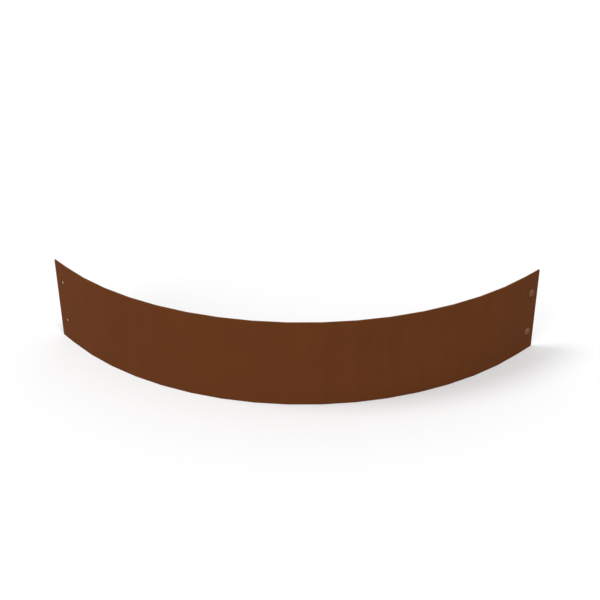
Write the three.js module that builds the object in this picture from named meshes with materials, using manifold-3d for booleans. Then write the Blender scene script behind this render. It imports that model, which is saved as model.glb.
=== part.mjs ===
// Quarter-turn landscape edging panel in weathering steel, with its fasteners.
//
// One strip of plate stands on its long edge and is bent through a quarter turn by a row of
// small equal bends, with a straight lap at each end. One lap has two clear holes. The other
// carries two flanged button-head screws, with a washer and a nut on each inside the curve,
// ready to take the holes of the next panel.
//
// Millimetres, +Z up. The origin is at the middle of the bounding box's base. The lap with the
// open holes faces -Y, the lap with the screws faces +X, and the curve bulges towards +X -Y.

import * as THREE from 'three';
import { mergeVertices } from 'three/addons/utils/BufferGeometryUtils.js';
import Module from 'manifold-3d';

// Plate
const panelHeight = 200;
const panelThickness = 3;
const bendRadius = 725; // outer face, through the bend lines
const bendAngle = 90; // degrees, between the two laps
const flatCount = 16; // equal flats around the curve
const lapLength = 50; // straight lap at each end
const holeFromEnd = 25; // hole centre to the plate's vertical end
const holeFromEdge = 50; // hole centre to the plate's top or bottom edge

// Screw
const screwDiameter = 8;
const screwLength = 20; // under the head
const screwEndChamfer = 0.8;
const flangeDiameter = 17.8;
const flangeEdge = 1.1; // height of the flange's rim
const domeDiameter = 13.6; // where the dome meets the flange
const domeTopDiameter = 7.4; // flat around the socket
const headHeight = 4.4;
const socketAcross = 5; // across the flats of the hex socket
const socketDepth = 2.6;

// Washer and nut
const washerDiameter = 16;
const washerThickness = 1.6;
const nutAcross = 13; // across the flats
const nutHeight = 6.8;
const nutChamferAngle = 30; // degrees, on both end faces

// Clearances
const holeClearance = 0.5; // screw to the plate's holes, on the radius
const washerClearance = 0.2; // screw to washer, on the radius
const threadClearance = 0.2; // screw to the nut's plain bore, on the radius
const seatGap = 0.2; // between faces that bear on each other

// Facets
const roundSegments = 32;
const domeSegments = 6;

const radians = Math.PI / 180;
const holeDiameter = screwDiameter + 2 * holeClearance;

// The arc's centre, placed so that the box of the whole assembly stands over the origin.
const headProud = seatGap + headHeight;
const arcCentre = new THREE.Vector2(
  -(bendRadius + headProud - lapLength) / 2,
  (bendRadius - lapLength) / 2,
);

const wasm = await Module();
wasm.setup();

// A closed geometry as a solid that can be joined and cut.
function toSolid(geometry) {
  const bare = geometry.clone();
  bare.deleteAttribute('normal');
  bare.deleteAttribute('uv');
  const merged = mergeVertices(bare, 1e-5);
  const mesh = new wasm.Mesh({
    numProp: 3,
    vertProperties: new Float32Array(merged.attributes.position.array),
    triVerts: new Uint32Array(merged.index.array),
  });
  return new wasm.Manifold(mesh);
}

function toGeometry(solid) {
  const mesh = solid.getMesh();
  const geometry = new THREE.BufferGeometry();
  geometry.setAttribute('position', new THREE.BufferAttribute(mesh.vertProperties, 3));
  geometry.setIndex(new THREE.BufferAttribute(mesh.triVerts, 1));
  geometry.computeVertexNormals();
  return geometry;
}

// A turned solid about Z, from [radius, z] points listed upwards.
function turned(profile, segments = roundSegments) {
  const points = profile.map(([radius, z]) => new THREE.Vector2(radius, z));
  return new THREE.LatheGeometry(points, segments).rotateX(Math.PI / 2);
}

// A regular hexagon as a shape, by its width across the flats.
function hexagon(across) {
  const shape = new THREE.Shape();
  for (let corner = 0; corner < 6; corner += 1) {
    const angle = (corner * 60 + 30) * radians;
    const reach = across / 2 / Math.cos(30 * radians);
    const x = reach * Math.cos(angle);
    const y = reach * Math.sin(angle);
    if (corner === 0) {
      shape.moveTo(x, y);
    } else {
      shape.lineTo(x, y);
    }
  }
  shape.closePath();
  return shape;
}

// The outer face seen from above: a lap, the bend lines on the circle, and the other lap.
function outerLine() {
  const points = [];
  const start = -90 * radians;
  const end = start + bendAngle * radians;
  const onArc = (angle) => new THREE.Vector2(
    arcCentre.x + bendRadius * Math.cos(angle),
    arcCentre.y + bendRadius * Math.sin(angle),
  );
  const along = (angle) => new THREE.Vector2(-Math.sin(angle), Math.cos(angle));
  points.push(onArc(start).addScaledVector(along(start), -lapLength));
  for (let bend = 0; bend <= flatCount; bend += 1) {
    points.push(onArc(start + (end - start) * bend / flatCount));
  }
  points.push(onArc(end).addScaledVector(along(end), lapLength));
  return points;
}

// The same line moved inwards by a distance, with mitred bends.
function offsetLine(points, distance) {
  const inward = [];
  for (let i = 0; i < points.length - 1; i += 1) {
    const run = points[i + 1].clone().sub(points[i]).normalize();
    inward.push(new THREE.Vector2(-run.y, run.x));
  }
  return points.map((point, i) => {
    const before = inward[Math.max(i - 1, 0)];
    const after = inward[Math.min(i, inward.length - 1)];
    const mitre = before.clone().add(after).multiplyScalar(distance / (1 + before.dot(after)));
    return point.clone().add(mitre);
  });
}

const outer = outerLine();
const leftEnd = outer[0];
const rightEnd = outer[outer.length - 1];
const holeLevels = { upper: panelHeight - holeFromEdge, lower: holeFromEdge };

// Plate, with two holes through each lap.
function makePanel() {
  const outline = [...outer, ...offsetLine(outer, panelThickness).reverse()];
  const plate = new THREE.ExtrudeGeometry(new THREE.Shape(outline), {
    depth: panelHeight,
    bevelEnabled: false,
    steps: 1,
  });
  let solid = toSolid(plate);
  const drillLength = panelThickness * 4;
  for (const level of Object.values(holeLevels)) {
    const leftDrill = new THREE.CylinderGeometry(
      holeDiameter / 2, holeDiameter / 2, drillLength, roundSegments,
    );
    leftDrill.translate(leftEnd.x + holeFromEnd, leftEnd.y, level);
    const rightDrill = new THREE.CylinderGeometry(
      holeDiameter / 2, holeDiameter / 2, drillLength, roundSegments,
    );
    rightDrill.rotateZ(Math.PI / 2);
    rightDrill.translate(rightEnd.x, rightEnd.y - holeFromEnd, level);
    solid = solid.subtract(toSolid(leftDrill)).subtract(toSolid(rightDrill));
  }
  return toGeometry(solid);
}

// Screw along Z: the head stands up from z = 0, the shank hangs below.
function makeScrew() {
  const shank = screwDiameter / 2;
  const profile = [
    [0, -screwLength],
    [shank - screwEndChamfer, -screwLength],
    [shank, -screwLength + screwEndChamfer],
    [shank, 0],
    [flangeDiameter / 2, 0],
    [flangeDiameter / 2, flangeEdge],
  ];
  const domeRun = (domeDiameter - domeTopDiameter) / 2;
  const domeRise = headHeight - flangeEdge;
  for (let step = 0; step <= domeSegments; step += 1) {
    const angle = step / domeSegments * Math.PI / 2;
    profile.push([
      domeTopDiameter / 2 + domeRun * Math.cos(angle),
      flangeEdge + domeRise * Math.sin(angle),
    ]);
  }
  profile.push([0, headHeight]);
  const socket = new THREE.ExtrudeGeometry(hexagon(socketAcross), {
    depth: socketDepth * 2,
    bevelEnabled: false,
    steps: 1,
  });
  socket.translate(0, 0, headHeight - socketDepth);
  return toGeometry(toSolid(turned(profile)).subtract(toSolid(socket)));
}

// Washer along Z, from z = 0 down.
function makeWasher() {
  const bore = screwDiameter / 2 + washerClearance;
  const rim = washerDiameter / 2;
  return toGeometry(toSolid(turned([
    [bore, -washerThickness],
    [rim, -washerThickness],
    [rim, 0],
    [bore, 0],
    [bore, -washerThickness],
  ])));
}

// Nut along Z, from z = 0 down: a hexagon with both faces chamfered, and a plain bore.
function makeNut() {
  const bore = screwDiameter / 2 + threadClearance;
  const corner = nutAcross / 2 / Math.cos(30 * radians);
  const rim = corner / Math.cos(Math.PI / roundSegments) + 0.2; // just clear of the corners
  const face = nutAcross / 2 * 0.96; // the flat ring on each end face
  const drop = (rim - face) * Math.tan(nutChamferAngle * radians);
  const mouth = 0.5; // countersink at each end of the bore
  const blank = new THREE.ExtrudeGeometry(hexagon(nutAcross), {
    depth: nutHeight,
    bevelEnabled: false,
    steps: 1,
  });
  blank.translate(0, 0, -nutHeight);
  const shell = turned([
    [bore, -nutHeight + mouth],
    [bore + mouth, -nutHeight],
    [face, -nutHeight],
    [rim, -nutHeight + drop],
    [rim, -drop],
    [face, 0],
    [bore + mouth, 0],
    [bore, -mouth],
    [bore, -nutHeight + mouth],
  ]);
  return toGeometry(toSolid(blank).intersect(toSolid(shell)));
}

function finish(color, roughness, metalness) {
  return new THREE.MeshStandardMaterial({ color, roughness, metalness });
}

const part = new THREE.Group();

function addMesh(parent, name, geometry, material) {
  const mesh = new THREE.Mesh(geometry, material);
  mesh.name = name;
  parent.add(mesh);
  return mesh;
}

addMesh(part, 'panel', makePanel(), finish(0x62371e, 0.75, 0.2));

// Each fastener stack lies along the screw, square to the lap, with its head outside.
const washerSeat = -(seatGap + panelThickness + seatGap);
const nutSeat = washerSeat - washerThickness - seatGap;
for (const [place, level] of Object.entries(holeLevels)) {
  const stack = new THREE.Group();
  stack.position.set(rightEnd.x + seatGap, rightEnd.y - holeFromEnd, level);
  stack.rotation.y = Math.PI / 2;
  part.add(stack);
  addMesh(stack, `${place}_screw`, makeScrew(), finish(0x735040, 0.55, 0.4));
  const washer = addMesh(stack, `${place}_washer`, makeWasher(), finish(0x6f4e3e, 0.55, 0.4));
  washer.position.z = washerSeat;
  const nut = addMesh(stack, `${place}_nut`, makeNut(), finish(0x6f4e3e, 0.55, 0.4));
  nut.position.z = nutSeat;
}

export default part;
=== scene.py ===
# Curved landscape edging panel in weathering steel, with its screws, washers and nuts.
import math

import bmesh
import bpy
from mathutils import Matrix, Vector


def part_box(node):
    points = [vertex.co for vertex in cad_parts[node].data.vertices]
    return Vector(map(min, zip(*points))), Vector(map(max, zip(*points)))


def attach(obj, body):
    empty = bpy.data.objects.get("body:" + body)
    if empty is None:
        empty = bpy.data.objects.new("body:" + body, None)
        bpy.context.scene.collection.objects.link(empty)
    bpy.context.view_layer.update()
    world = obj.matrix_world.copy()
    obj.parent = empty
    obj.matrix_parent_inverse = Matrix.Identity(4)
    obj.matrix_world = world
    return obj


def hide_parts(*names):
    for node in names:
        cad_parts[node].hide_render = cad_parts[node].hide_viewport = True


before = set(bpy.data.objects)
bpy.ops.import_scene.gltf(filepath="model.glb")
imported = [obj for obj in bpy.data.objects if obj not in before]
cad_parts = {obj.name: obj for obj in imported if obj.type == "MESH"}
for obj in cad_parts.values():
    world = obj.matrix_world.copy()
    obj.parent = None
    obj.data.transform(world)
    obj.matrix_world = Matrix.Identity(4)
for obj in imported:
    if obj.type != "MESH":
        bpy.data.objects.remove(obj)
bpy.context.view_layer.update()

scene = bpy.context.scene
millimetre = 0.001


# A socket that adds Math nodes to its tree when it is used in an expression.
class Wire:
    def __init__(self, tree, socket):
        self.tree = tree
        self.socket = socket

    def maths(self, operation, *values):
        return self.tree.node("ShaderNodeMath", {"operation": operation}, dict(enumerate(values)))

    def __add__(self, other):
        return self.maths("ADD", self, other)

    def __radd__(self, other):
        return self.maths("ADD", other, self)

    def __sub__(self, other):
        return self.maths("SUBTRACT", self, other)

    def __rsub__(self, other):
        return self.maths("SUBTRACT", other, self)

    def __mul__(self, other):
        return self.maths("MULTIPLY", self, other)

    def __rmul__(self, other):
        return self.maths("MULTIPLY", other, self)

    def __truediv__(self, other):
        return self.maths("DIVIDE", self, other)

    def __neg__(self):
        return self.maths("MULTIPLY", self, -1.0)

    def cos(self):
        return self.maths("COSINE", self)

    def sin(self):
        return self.maths("SINE", self)

    def between(self, low, high):
        return self.maths("MINIMUM", self.maths("MAXIMUM", self, low), high)


# A node tree for a material or for a form; every node comes from its one method.
class Tree:
    def __init__(self, nodeTree):
        self.nodeTree = nodeTree
        self.labels = {}

    def node(self, kind, settings=None, sockets=None, out=0):
        made = self.nodeTree.nodes.new(kind)
        for key, value in (settings or {}).items():
            setattr(made, key, value)
        for key, value in (sockets or {}).items():
            for each in value if isinstance(value, list) else [value]:
                if isinstance(each, Wire):
                    self.nodeTree.links.new(each.socket, made.inputs[key])
                else:
                    made.inputs[key].default_value = each
        return Wire(self, made.outputs[out]) if made.outputs else made


# A form's tree, with an input for each of its sizes and for its material.
def newForm(name, sizes):
    tree = Tree(bpy.data.node_groups.new(name, "GeometryNodeTree"))
    interface = tree.nodeTree.interface
    interface.new_socket("Form", in_out="OUTPUT", socket_type="NodeSocketGeometry")
    kinds = {label: "NodeSocketInt" if isinstance(value, int) else "NodeSocketFloat"
             for label, value in sizes.items()}
    for label, kind in {**kinds, "Finish": "NodeSocketMaterial"}.items():
        made = interface.new_socket(label, in_out="INPUT", socket_type=kind)
        tree.labels[label] = made.identifier
    return tree, {label: tree.node("NodeGroupInput", out=label) for label in tree.labels}


def closeForm(tree, form, given):
    real = tree.node("GeometryNodeRealizeInstances", None, {"Geometry": form})
    dressed = tree.node("GeometryNodeSetMaterial", None, {
        "Geometry": real, "Material": given["Finish"]})
    tree.node("NodeGroupOutput", None, {"Form": dressed})


edgeLook = {
    "breakOver": 40,  # degrees: a piece with an edge width has its sharper edges broken
    "smoothUnder": 24,  # degrees: flatter edges are shaded smooth
}


# Grows a form into a plain mesh.
def growForm(name, tree, sizes, finish, edge=None, smoothUnder=edgeLook["smoothUnder"]):
    piece = bpy.data.objects.new(name, bpy.data.meshes.new(name))
    scene.collection.objects.link(piece)
    form = piece.modifiers.new("form", "NODES")
    form.node_group = tree.nodeTree
    for label, value in sizes.items():
        form[tree.labels[label]] = value
    form[tree.labels["Finish"]] = finish
    return settle(piece, finish, edge, smoothUnder)


# Applies a piece's modifiers, dresses it and sets which of its edges look sharp.
def settle(piece, finish, edge=None, smoothUnder=edgeLook["smoothUnder"]):
    if edge:
        bevel = piece.modifiers.new("edge", "BEVEL")
        bevel.width = edge
        bevel.segments = 1
        bevel.limit_method = "ANGLE"
        bevel.angle_limit = math.radians(edgeLook["breakOver"])
        bevel.miter_outer = "MITER_ARC"
    bpy.context.view_layer.update()
    evaluated = piece.evaluated_get(bpy.context.evaluated_depsgraph_get())
    mesh = bpy.data.meshes.new_from_object(evaluated)
    mesh.name = piece.name
    piece.modifiers.clear()
    piece.data = mesh
    mesh.materials.clear()
    mesh.materials.append(finish)
    mesh.shade_smooth()
    mesh.set_sharp_from_angle(angle=math.radians(smoothUnder))
    return piece


# Weathered steel: a closed brown patina, mottled below a millimetre and clouded across the piece.
# A larger scale is a finer pattern, and a depth is how far a pattern changes colour or roughness.
rustLook = {
    "plate": {
        "dark": (0.058, 0.0161, 0.0040, 1.0),
        "light": (0.140, 0.0435, 0.0127, 1.0),
        "pit": (0.036, 0.0110, 0.0042, 1.0),
        "bloom": (0.215, 0.0700, 0.0190, 1.0),
        "cloudScale": 9.0,
        "cloudDepth": 0.24,
        "runScale": (46.0, 46.0, 3.0),
        "runDepth": 0.15,
        "grainScale": 1500.0,
        "grainDepth": 1.15,
        "fleckScale": 520.0,
        "fleckReach": 0.30,  # in cells of the net
        "fleckRarity": 0.55,
        "roughness": 0.78,
        "roughnessDepth": 0.3,
        "metallic": 0.0,
        "specular": 0.03,
        "bumpHeight": 0.00016,
        "bumpStrength": 0.5,
    },
    "fastener": {
        "dark": (0.110, 0.0405, 0.0190, 1.0),
        "light": (0.208, 0.0865, 0.0455, 1.0),
        "pit": (0.064, 0.024, 0.010, 1.0),
        "bloom": (0.260, 0.098, 0.036, 1.0),
        "cloudScale": 120.0,
        "cloudDepth": 0.7,
        "runScale": (300.0, 300.0, 300.0),
        "runDepth": 0.3,
        "grainScale": 3200.0,
        "grainDepth": 1.0,
        "fleckScale": 1400.0,
        "fleckReach": 0.30,
        "fleckRarity": 0.6,
        "roughness": 0.5,
        "roughnessDepth": 0.3,
        "metallic": 0.15,
        "specular": 0.08,
        "bumpHeight": 0.00005,
        "bumpStrength": 0.35,
    },
}


# What both finishes share
rustMix = {
    "noiseRoughness": 0.6,
    "cloudDetail": 4.0,
    "runDetail": 3.0,
    "grainDetail": 3.0,
    "patchDetail": 2.0,
    "patchScale": 0.4,  # of the patches that flecks come in, against the flecks' own
    "patchEdge": 9.0,  # how sharply a patch ends
    "bloomScale": 1.7,  # against the pits'
    "bloomCover": 0.55,
    "pitCover": 0.7,
    "cloudRoughness": 0.1,
    "pitRoughness": 0.1,
    "leastRoughness": 0.2,
    "runHeight": 0.4,  # heights are against the grain's
    "pitDepth": 0.5,
    "bloomHeight": 0.25,
}


def emptyMaterial(name):
    material = bpy.data.materials.new(name)
    material.use_nodes = True
    material.node_tree.nodes.clear()
    return material, Tree(material.node_tree)


def rustSteel(name, look):
    material, tree = emptyMaterial(name)
    mix = rustMix
    place = tree.node("ShaderNodeTexCoord", out="Object")

    def noise(vector, scale, detail):
        return tree.node("ShaderNodeTexNoise", {"noise_dimensions": "3D"}, {
            "Vector": vector, "Scale": scale, "Detail": detail, "Roughness": mix["noiseRoughness"]})

    # spots in some of a net's cells, 1 at their middles
    def flecks(scale):
        cell = {"Vector": place, "Scale": scale}
        reach = look["fleckReach"]
        near = (reach - tree.node("ShaderNodeTexVoronoi", None, cell)).between(0.0, reach) / reach
        patch = noise(place, scale * mix["patchScale"], mix["patchDetail"])
        return near * ((patch - look["fleckRarity"]) * mix["patchEdge"]).between(0.0, 1.0)

    def blend(amount, under, over):
        return tree.node("ShaderNodeMix", {"data_type": "RGBA"}, {
            0: amount, 6: under, 7: over}, out=2)

    # noise is 0.5 on average, and these are 0
    cloud = noise(place, look["cloudScale"], mix["cloudDetail"]) - 0.5
    stretched = tree.node("ShaderNodeMapping", None, {"Vector": place, "Scale": look["runScale"]})
    run = noise(stretched, 1.0, mix["runDetail"]) - 0.5
    grain = noise(place, look["grainScale"], mix["grainDetail"]) - 0.5
    pits = flecks(look["fleckScale"])
    blooms = flecks(look["fleckScale"] * mix["bloomScale"])
    mask = 0.5 + cloud * look["cloudDepth"] + run * look["runDepth"] + grain * look["grainDepth"]
    colour = blend(mask.between(0.0, 1.0), look["dark"], look["light"])
    colour = blend(blooms * mix["bloomCover"], colour, look["bloom"])
    colour = blend(pits * mix["pitCover"], colour, look["pit"])
    rough = look["roughness"] - grain * look["roughnessDepth"]
    rough = rough + cloud * mix["cloudRoughness"] + pits * mix["pitRoughness"]
    height = grain + run * mix["runHeight"] - pits * mix["pitDepth"] + blooms * mix["bloomHeight"]
    bump = tree.node("ShaderNodeBump", None, {
        "Strength": look["bumpStrength"], "Distance": look["bumpHeight"], "Height": height})
    skin = tree.node("ShaderNodeBsdfPrincipled", None, {
        "Base Color": colour, "Roughness": rough.between(mix["leastRoughness"], 1.0),
        "Metallic": look["metallic"], "Specular IOR Level": look["specular"], "Normal": bump})
    tree.node("ShaderNodeOutputMaterial", None, {"Surface": skin})
    return material


plateRust = rustSteel("plateRust", rustLook["plate"])
fastenerRust = rustSteel("fastenerRust", rustLook["fastener"])
print("materials made")


# The curved plate, in metres: a path of laps and bend lines, swept with the plate's section and
# then drilled
plateSizes = {
    "Height": 0.2,
    "Thickness": 0.003,
    "Bend Radius": 0.725,
    "Flats": 16,
    "Quarter": math.pi / 2,
    "Lap": 0.05,
    "Hole Radius": 0.0045,
    "Hole From End": 0.025,
    "Hole From Edge": 0.05,
    "Hole Segments": 96,
    "Drill Depth": 4.0,  # in plate thicknesses
    "Centre X": 0.0,  # the arc's centre comes from the panel's box
    "Centre Y": 0.0,
}
plateEdge = 0.25 * millimetre
plateSmooth = 4.5  # degrees: the bends stay crisp, and the holes' walls don't


def plateForm():
    tree, given = newForm("curvedPlate", plateSizes)
    flats, quarter, lap = given["Flats"], given["Quarter"], given["Lap"]
    index = tree.node("GeometryNodeInputIndex")
    angle = ((index - 1).between(0, flats)) * quarter / flats - quarter
    reach = ((index - (flats + 1)).between(0, 1) - (1 - index).between(0, 1)) * lap
    middle = given["Bend Radius"] - given["Thickness"] / 2
    spot = tree.node("ShaderNodeCombineXYZ", None, {
        0: given["Centre X"] + middle * angle.cos() - reach * angle.sin(),
        1: given["Centre Y"] + middle * angle.sin() + reach * angle.cos(),
        2: given["Height"] / 2})
    # a point for each bend line and each end, placed by the next node
    line = tree.node("GeometryNodeMeshLine", None, {"Count": flats + 3})
    line = tree.node("GeometryNodeSetPosition", None, {"Geometry": line, "Position": spot})
    path = tree.node("GeometryNodeMeshToCurve", None, {"Mesh": line})
    path = tree.node("GeometryNodeSetCurveNormal", {"mode": "Z_UP"}, {"Curve": path})
    section = tree.node("GeometryNodeCurvePrimitiveQuadrilateral", None, {
        "Width": given["Thickness"], "Height": given["Height"]})
    swept = tree.node("GeometryNodeCurveToMesh", None, {
        "Curve": path, "Profile Curve": section, "Fill Caps": True})
    # a column of two drills for each lap
    rise = given["Height"] - 2 * given["Hole From Edge"]
    column = tree.node("GeometryNodeMeshLine", None, {
        "Count": 2,
        "Start Location": tree.node("ShaderNodeCombineXYZ", None, {2: given["Hole From Edge"]}),
        "Offset": tree.node("ShaderNodeCombineXYZ", None, {2: rise})})
    drill = tree.node("GeometryNodeMeshCylinder", None, {
        "Vertices": given["Hole Segments"], "Radius": given["Hole Radius"],
        "Depth": given["Thickness"] * given["Drill Depth"]})
    along = lap - given["Hole From End"]
    places = (
        ((math.pi / 2, 0, 0), given["Centre X"] - along, given["Centre Y"] - middle),
        ((0, math.pi / 2, 0), given["Centre X"] + middle, given["Centre Y"] + along),
    )
    drills = []
    for turn, x, y in places:
        turned = tree.node("GeometryNodeTransform", None, {"Geometry": drill, "Rotation": turn})
        pair = tree.node("GeometryNodeInstanceOnPoints", None, {
            "Points": column, "Instance": turned})
        pair = tree.node("GeometryNodeRealizeInstances", None, {"Geometry": pair})
        drills.append(tree.node("GeometryNodeTransform", None, {
            "Geometry": pair,
            "Translation": tree.node("ShaderNodeCombineXYZ", None, {0: x, 1: y})}))
    exact = {"operation": "DIFFERENCE", "solver": "EXACT"}
    drilled = tree.node("GeometryNodeMeshBoolean", exact, {0: swept, 1: drills})
    closeForm(tree, drilled, given)
    return tree


low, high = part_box("panel")
plateSizes["Centre X"] = high.x - plateSizes["Bend Radius"]
plateSizes["Centre Y"] = low.y + plateSizes["Bend Radius"]
plate = growForm("curved_plate", plateForm(), plateSizes, plateRust, plateEdge, plateSmooth)
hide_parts("panel")
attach(plate, "panel")
arcCentre = Vector((plateSizes["Centre X"], plateSizes["Centre Y"], 0))
print("plate made", len(plate.data.polygons), "faces")


# A blank of rings from bottom to top, along Z; a ring's radius or height may change with the
# angle, as a hexagon's does, and a closed blank has its last ring joined to its first.
def ringMesh(name, rings, segments, closed=False):
    shape = bmesh.new()
    rows = []
    for radius, z in rings:
        if radius == 0:
            rows.append([shape.verts.new((0, 0, z))])
            continue
        row = []
        for k in range(segments):
            turn = 2 * math.pi * k / segments
            reach = radius(turn) if callable(radius) else radius
            level = z(turn) if callable(z) else z
            row.append(shape.verts.new((reach * math.cos(turn), reach * math.sin(turn), level)))
        rows.append(row)
    for below, above in zip(rows, rows[1:] + rows[:1] * closed):
        for k in range(segments):
            after = (k + 1) % segments
            corners = [below[k % len(below)], below[after % len(below)],
                       above[after % len(above)], above[k % len(above)]]
            shape.faces.new(list(dict.fromkeys(corners)))
    bmesh.ops.recalc_face_normals(shape, faces=shape.faces)
    mesh = bpy.data.meshes.new(name)
    shape.to_mesh(mesh)
    shape.free()
    blank = bpy.data.objects.new(name, mesh)
    scene.collection.objects.link(blank)
    return blank


# Distance from a hexagon's middle to its side at an angle, with its corners at 0, 60, 120 ...
def hexReach(across):
    sixth = math.pi / 3
    return lambda turn: across / 2 / math.cos(turn % sixth - sixth / 2)


# Screw, in millimetres, with its bearing face at z = 0 and its head above; sizes across are radii,
# apart from the socket's
screwSizes = {
    "length": 20.0,
    "crest": 4.0,
    "root": 3.35,
    "point": 0.5,  # chamfer of the end
    "pitch": 1.25,
    "threadGap": 0.9,  # from the thread to the shank's end and to its plain part
    "threadFoot": 0.1,  # how deep the ridge stands in the shank
    "plainUnderHead": 1.0,
    "runOut": 0.6,  # cone between the thread's root and the plain part
    "flange": 8.9,
    "flangeEdge": 1.1,
    "flangeRound": 0.45,
    "flangeFlat": 0.8,  # the rim's rise against its round
    "underRound": 0.25,
    "rimSteps": 5,
    "fillet": ((0.55, 0.02), (0.18, 0.12)),  # out from the dome and up from the flange
    "filletTop": 0.35,
    "dome": 6.9,
    "domeTop": 3.6,
    "domeSteps": 10,
    "headHeight": 4.4,
    "socketAcross": 5.0,
    "socketDepth": 2.6,
    "socketPoint": 0.9,  # cone below the socket's flat sides
    "leadIn": 0.12,
    "leadEdge": 0.06,
    "leadSlope": 1.144,
    "seat": 0.18,  # how far the flange reaches down to the plate
    "segments": 72,
}


# Angles from 0 to a quarter turn
def quarterTurns(steps):
    return [k / steps * math.pi / 2 for k in range(steps + 1)]


def screwRings(s):
    under, rim, flange = s["underRound"], s["flangeRound"], s["flange"]
    neck = -s["plainUnderHead"]
    rings = [(0, -s["length"]), (s["root"] - s["point"], -s["length"])]
    rings += [(s["root"], -s["length"] + s["point"]), (s["root"], neck - s["runOut"])]
    rings += [(s["crest"], neck), (s["crest"], -s["seat"])]
    for turn in quarterTurns(s["rimSteps"])[:-1]:  # under the flange
        rings.append((
            flange - under + under * math.sin(turn),
            under - s["seat"] - under * math.cos(turn)))
    for turn in quarterTurns(s["rimSteps"]):  # the flange's rim
        rise = rim * s["flangeFlat"] * math.sin(turn)
        rings.append((flange - rim + rim * math.cos(turn), s["flangeEdge"] - rim + rise))
    top = s["flangeEdge"] - rim + rim * s["flangeFlat"]
    rings += [(s["dome"] + out, top + up) for out, up in s["fillet"]]
    foot = top + s["filletTop"]
    for turn in quarterTurns(s["domeSteps"]):
        rings.append((
            s["domeTop"] + (s["dome"] - s["domeTop"]) * math.cos(turn),
            foot + (s["headHeight"] - foot) * math.sin(turn)))
    side = hexReach(s["socketAcross"])
    mouth = side(0) + s["leadIn"]
    edge, floor = s["headHeight"] - s["leadEdge"], s["headHeight"] - s["socketDepth"]
    rings += [(mouth + s["leadEdge"], s["headHeight"]), (mouth, edge)]
    rings += [(side, lambda turn: edge - (mouth - side(turn)) * s["leadSlope"])]
    rings += [(side, floor), (0, floor - s["socketPoint"])]
    return rings


# A thread's ridge, in metres: a blunt triangle swept along a helix, which sinks into the blank at
# both ends
threadSizes = {
    "Start": 0.0,
    "Length": 0.018,
    "Pitch": 0.00125,
    "Base": 0.0033,
    "Crest": 0.004,
    "Width": 0.00108,
    "Tip": 0.14,  # the crest's width against the base's
    "Run Out": 0.6,  # turns
    "Steps A Turn": 40,
}


def threadForm():
    tree, given = newForm("thread", threadSizes)
    turns = given["Length"] / given["Pitch"]
    middle = (given["Base"] + given["Crest"]) / 2
    helix = tree.node("GeometryNodeCurveSpiral", None, {
        "Resolution": given["Steps A Turn"], "Rotations": turns, "Start Radius": middle,
        "End Radius": middle, "Height": given["Length"], "Reverse": True})
    part = tree.node("GeometryNodeSplineParameter", out="Factor")
    nearEnd = tree.node("ShaderNodeMath", {"operation": "MINIMUM"}, {0: part, 1: 1 - part})
    sink = (1 - nearEnd * turns / given["Run Out"]).between(0, 1) * (given["Crest"] - given["Base"])
    outward = tree.node("ShaderNodeVectorMath", {"operation": "MULTIPLY"}, {
        0: tree.node("GeometryNodeInputPosition"), 1: (1, 1, 0)})
    inward = tree.node("ShaderNodeVectorMath", {"operation": "SCALE"}, {
        0: outward, "Scale": -sink / middle})
    helix = tree.node("GeometryNodeSetPosition", None, {"Geometry": helix, "Offset": inward})
    helix = tree.node("GeometryNodeSetCurveNormal", {"mode": "Z_UP"}, {"Curve": helix})
    half = (given["Crest"] - given["Base"]) / 2
    corners = []
    for across, up in ((-1, -1), (-1, 1), (1, given["Tip"]), (1, -given["Tip"])):
        corners.append(tree.node("ShaderNodeCombineXYZ", None, {
            0: half * across, 1: given["Width"] / 2 * up}))
    section = tree.node("GeometryNodeCurvePrimitiveQuadrilateral", {"mode": "POINTS"}, {
        "Point 1": corners[0], "Point 2": corners[1], "Point 3": corners[2], "Point 4": corners[3]})
    ridge = tree.node("GeometryNodeCurveToMesh", None, {
        "Curve": helix, "Profile Curve": section, "Fill Caps": True})
    start = tree.node("ShaderNodeCombineXYZ", None, {2: given["Start"]})
    placed = tree.node("GeometryNodeTransform", None, {"Geometry": ridge, "Translation": start})
    closeForm(tree, placed, given)
    return tree


threadTree = threadForm()


# One piece from several, moved to its place in its mesh
def joined(name, pieces, finish, move):
    shape = bmesh.new()
    for piece in pieces:
        shape.from_mesh(piece.data)
        bpy.data.objects.remove(piece)
    bmesh.ops.recalc_face_normals(shape, faces=shape.faces)
    mesh = bpy.data.meshes.new(name)
    shape.to_mesh(mesh)
    shape.free()
    mesh.transform(move)
    whole = bpy.data.objects.new(name, mesh)
    scene.collection.objects.link(whole)
    return settle(whole, finish)


# Turns local Z to the outward +X of the screw lap, on a screw's axis.
def alongLap(level, out):
    low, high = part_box(level + "_screw")
    middle = (low + high) / 2
    outward = Matrix.Rotation(math.pi / 2, 4, "Y")
    return Matrix.Translation((out, middle.y, middle.z)) @ outward


def makeScrew(level):
    s = screwSizes
    body = ringMesh("blank", screwRings(s), s["segments"])
    body.data.transform(Matrix.Scale(millimetre, 4))
    ridge = growForm("ridge", threadTree, {
        **threadSizes,
        "Start": (s["threadGap"] - s["length"]) * millimetre,
        "Length": (s["length"] - s["plainUnderHead"] - 2 * s["threadGap"]) * millimetre,
        "Pitch": s["pitch"] * millimetre,
        "Base": (s["root"] - s["threadFoot"]) * millimetre,
        "Crest": s["crest"] * millimetre}, fastenerRust)
    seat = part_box(level + "_screw")[0].x + s["length"] * millimetre
    screw = joined(level + "_flanged_screw", [body, ridge], fastenerRust, alongLap(level, seat))
    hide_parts(level + "_screw")
    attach(screw, level + "_screw")


# Washer, in metres; its bore and rim are radii
washerSizes = {
    "Bore": 0.0042,
    "Rim": 0.008,
    "Thickness": 0.00163,
    "Corner": 0.00022,
    "Segments": 72,
}
washerSeat = 0.17 * millimetre  # how far it reaches out towards the plate


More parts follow.
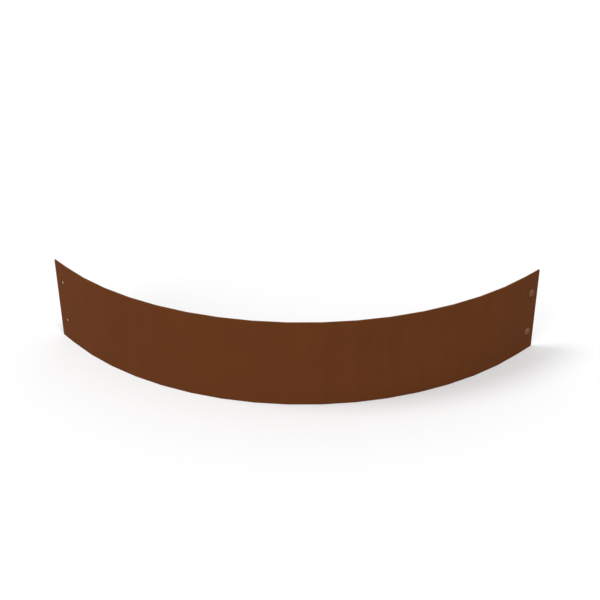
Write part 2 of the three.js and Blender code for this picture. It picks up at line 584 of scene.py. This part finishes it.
def washerForm():
    tree, given = newForm("flatWasher", washerSizes)
    circle = tree.node("GeometryNodeCurvePrimitiveCircle", None, {
        "Resolution": given["Segments"], "Radius": (given["Bore"] + given["Rim"]) / 2})
    circle = tree.node("GeometryNodeSetCurveNormal", {"mode": "Z_UP"}, {"Curve": circle})
    section = tree.node("GeometryNodeCurvePrimitiveQuadrilateral", None, {
        "Width": given["Rim"] - given["Bore"], "Height": given["Thickness"]})
    section = tree.node("GeometryNodeFilletCurve", None, {
        "Curve": section, "Radius": given["Corner"]})
    ring = tree.node("GeometryNodeCurveToMesh", None, {"Curve": circle, "Profile Curve": section})
    closeForm(tree, ring, given)
    return tree


washerTree = washerForm()


def makeWasher(level):
    ring = growForm("ring", washerTree, washerSizes, fastenerRust)
    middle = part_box(level + "_washer")[1].x + washerSeat - washerSizes["Thickness"] / 2
    washer = joined(level + "_flat_washer", [ring], fastenerRust, alongLap(level, middle))
    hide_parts(level + "_washer")
    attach(washer, level + "_washer")


# Nut, in metres, with its middle at z = 0; sizes across are radii, apart from "across", which is
# over its flats
nutSizes = {
    "across": 0.013,
    "height": 0.0069,
    "bore": 0.00408,
    "face": 0.00624,
    "mouth": 0.0005,
    "chamfer": 30,  # degrees
    "threadGap": 0.0005,
    "threadFoot": 0.00005,  # how deep the ridge stands in the bore's wall
    "threadCrest": 0.00345,
    "segments": 72,
}


def nutRings(s):
    bore, mouth, end = s["bore"], s["bore"] + s["mouth"], s["height"] / 2
    side, slope = hexReach(s["across"]), math.tan(math.radians(s["chamfer"]))
    above = [
        (side, lambda turn: end - (side(turn) - s["face"]) * slope),
        (s["face"], end), (mouth, end), (bore, end - s["mouth"])]
    below = [
        (bore, s["mouth"] - end), (mouth, -end), (s["face"], -end),
        (side, lambda turn: (side(turn) - s["face"]) * slope - end)]
    return below + above


def makeNut(level):
    s = nutSizes
    blank = ringMesh("blank", nutRings(s), s["segments"], closed=True)
    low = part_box(level + "_nut")[0]
    pitch = screwSizes["pitch"] * millimetre
    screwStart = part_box(level + "_screw")[0].x + screwSizes["threadGap"] * millimetre
    # the nut's ridge runs midway between two turns of the screw's
    first = s["threadGap"] + (screwStart + pitch / 2 - low.x - s["threadGap"]) % pitch
    ridge = growForm("ridge", threadTree, {
        **threadSizes,
        "Start": first - s["height"] / 2,
        "Length": s["height"] - s["threadGap"] - first,
        "Pitch": pitch,
        "Base": s["bore"] + s["threadFoot"],
        "Crest": s["threadCrest"]}, fastenerRust)
    middle = low.x + s["height"] / 2
    nut = joined(level + "_hex_nut", [blank, ridge], fastenerRust, alongLap(level, middle))
    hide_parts(level + "_nut")
    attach(nut, level + "_nut")


for level in ("upper", "lower"):
    makeScrew(level)
    makeWasher(level)
    makeNut(level)
print("fasteners made")


# Floor and backdrop
stageLook = {
    "floorSize": 30.0,
    "floorDrop": 0.0002,  # below the plate's edge
    "floorColour": (0.585, 0.585, 0.585, 1.0),
    "skyLight": 0.62,  # what the backdrop gives as light
    "skySeen": 1.0,  # and how white it looks beyond the floor
}


def makeFloor():
    mesh = bpy.data.meshes.new("floor")
    half = stageLook["floorSize"] / 2
    corners = [(-half, -half, 0), (half, -half, 0), (half, half, 0), (-half, half, 0)]
    mesh.from_pydata(corners, [], [(0, 1, 2, 3)])
    floor = bpy.data.objects.new("floor", mesh)
    floor.location.z = -stageLook["floorDrop"]
    scene.collection.objects.link(floor)
    paleFloor, tree = emptyMaterial("paleFloor")
    skin = tree.node("ShaderNodeBsdfPrincipled", None, {
        "Base Color": stageLook["floorColour"], "Roughness": 1.0, "Specular IOR Level": 0.0})
    tree.node("ShaderNodeOutputMaterial", None, {"Surface": skin})
    mesh.materials.append(paleFloor)


def makeSky():
    sky = bpy.data.worlds.new("studio")
    sky.use_nodes = True
    sky.node_tree.nodes.clear()
    tree = Tree(sky.node_tree)
    seen = tree.node("ShaderNodeLightPath", out="Is Camera Ray")
    strength = stageLook["skyLight"] + seen * (stageLook["skySeen"] - stageLook["skyLight"])
    white = tree.node("ShaderNodeBackground", None, {"Color": (1, 1, 1, 1), "Strength": strength})
    tree.node("ShaderNodeOutputWorld", None, {"Surface": white})
    scene.world = sky
    scene.view_settings.view_transform = "Standard"


makeFloor()
makeSky()

# Camera: metres from the arc's centre, degrees, and lens and sensor in millimetres
cameraLook = {
    "turn": 47.71,  # round from the open lap's normal
    "back": 2.3018,
    "height": 1.1825,
    "pitch": 24.526,  # down
    "yaw": -0.27,
    "roll": 0.23,
    "lens": 55.056,
    "sensor": 36,
    "shiftUp": -0.16,
}
turnRound = Matrix.Rotation(math.radians(cameraLook["turn"]), 4, "Z")


# A point by its distances from the arc's centre, as the camera's view is turned
def inView(right, away, up):
    return arcCentre + turnRound @ Vector((right, away, up))


def makeCamera():
    c = cameraLook
    pitch, yaw, roll = (math.radians(c[key]) for key in ("pitch", "yaw", "roll"))
    level = math.cos(pitch)
    forward = Vector((math.sin(yaw) * level, math.cos(yaw) * level, -math.sin(pitch)))
    right = Vector((math.cos(yaw), -math.sin(yaw), 0))
    down = forward.cross(right)
    rolledRight = right * math.cos(roll) + down * math.sin(roll)
    rolledDown = down * math.cos(roll) - right * math.sin(roll)
    turned = Matrix((rolledRight, -rolledDown, -forward)).transposed().to_4x4()
    data = bpy.data.cameras.new("camera")
    data.sensor_width = c["sensor"]
    data.lens = c["lens"]
    data.shift_y = c["shiftUp"]
    camera = bpy.data.objects.new("camera", data)
    scene.collection.objects.link(camera)
    place = Matrix.Translation(inView(0, -c["back"], c["height"]))
    camera.matrix_world = place @ turnRound @ turned
    scene.camera = camera


# Each lamp is a far, wide disc; "to" points to it from the arc's centre: right, away and up in
# the view. Its width is in degrees.
lamps = {
    "key": {"to": (-1.0, 0.05, 1.65), "width": 22, "strength": 1.42},
    "top": {"to": (0.16, -0.27, 1.0), "width": 9, "strength": 2.0},
    "fill": {"to": (-0.6, -0.8, 0.53), "width": 30, "strength": 0.96},
}


def makeLamps():
    for name, look in lamps.items():
        data = bpy.data.lights.new(name, "SUN")
        data.angle = math.radians(look["width"])
        data.energy = look["strength"]
        lamp = bpy.data.objects.new(name, data)
        scene.collection.objects.link(lamp)
        start = inView(*look["to"])
        aim = (start - arcCentre).to_track_quat("Z", "Y")
        lamp.matrix_world = Matrix.Translation(start) @ aim.to_matrix().to_4x4()


makeCamera()
makeLamps()
print("stage set")
